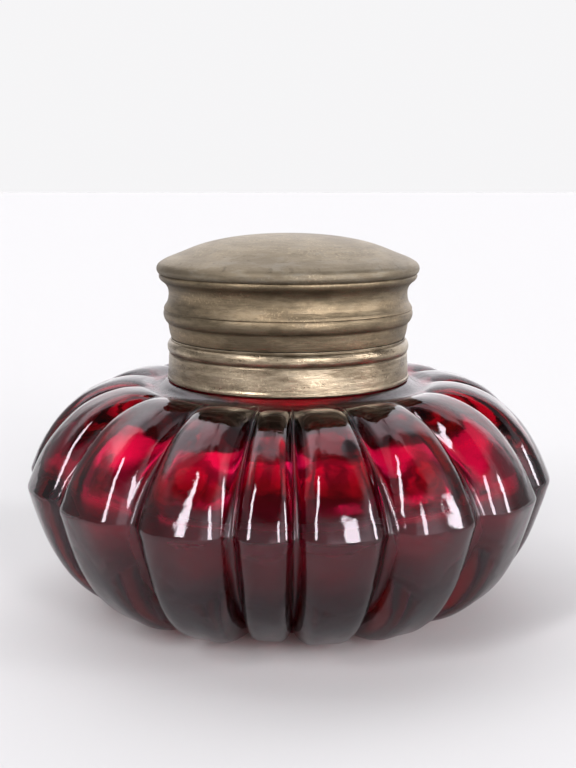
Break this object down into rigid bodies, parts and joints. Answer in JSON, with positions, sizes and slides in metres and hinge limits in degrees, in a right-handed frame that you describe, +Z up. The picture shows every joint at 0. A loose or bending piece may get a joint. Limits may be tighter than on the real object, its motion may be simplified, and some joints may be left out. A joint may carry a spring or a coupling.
{
  "type": "ink bottle",
  "caption": "Pumpkin-ribbed ruby glass inkwell with a brass collar cemented on its neck and a domed brass screw lid.",
  "frame": {"origin": "on the axis of the bottle, in the plane it stands on", "axes": "+Z up along the axis of neck and lid; the front of the bottle faces -Y"},
  "size_m": [0.0795, 0.0788, 0.0565],
  "materials": {
    "ruby_glass": "polished ruby red glass, slightly wavy",
    "aged_brass": "dull aged brass, lightly brushed round the axis",
    "lid_brass": "dull aged brass with grey patina and fine scratches",
    "plaster": "old plaster",
    "cork": "matt cork"
  },
  "bodies": {
    "bottle": {"glass_body": "ruby_glass", "cement_bed": "plaster", "collar_band": "aged_brass", "neck_ring": "aged_brass"},
    "seal": {"sealing_disc": "cork"},
    "lid": {"lid_skirt": "lid_brass", "lid_dome": "lid_brass", "lid_thread_cup": "lid_brass"}
  },
  "joints": [
    {"name": "lid_lift", "type": "slide", "parent": "bottle", "child": "seal", "axis": [0, 0, 1], "range_m": [0, 0.00875]},
    {"name": "lid_turn", "type": "hinge", "parent": "seal", "child": "lid", "pos_m": [0, 0, 0.041], "axis": [0, 0, 1], "range_deg": [0, 1260]}
  ],
  "couplings": [
    {"joint": "lid_lift", "follows": "lid_turn", "m_per_rad": 0.00039789}
  ]
}
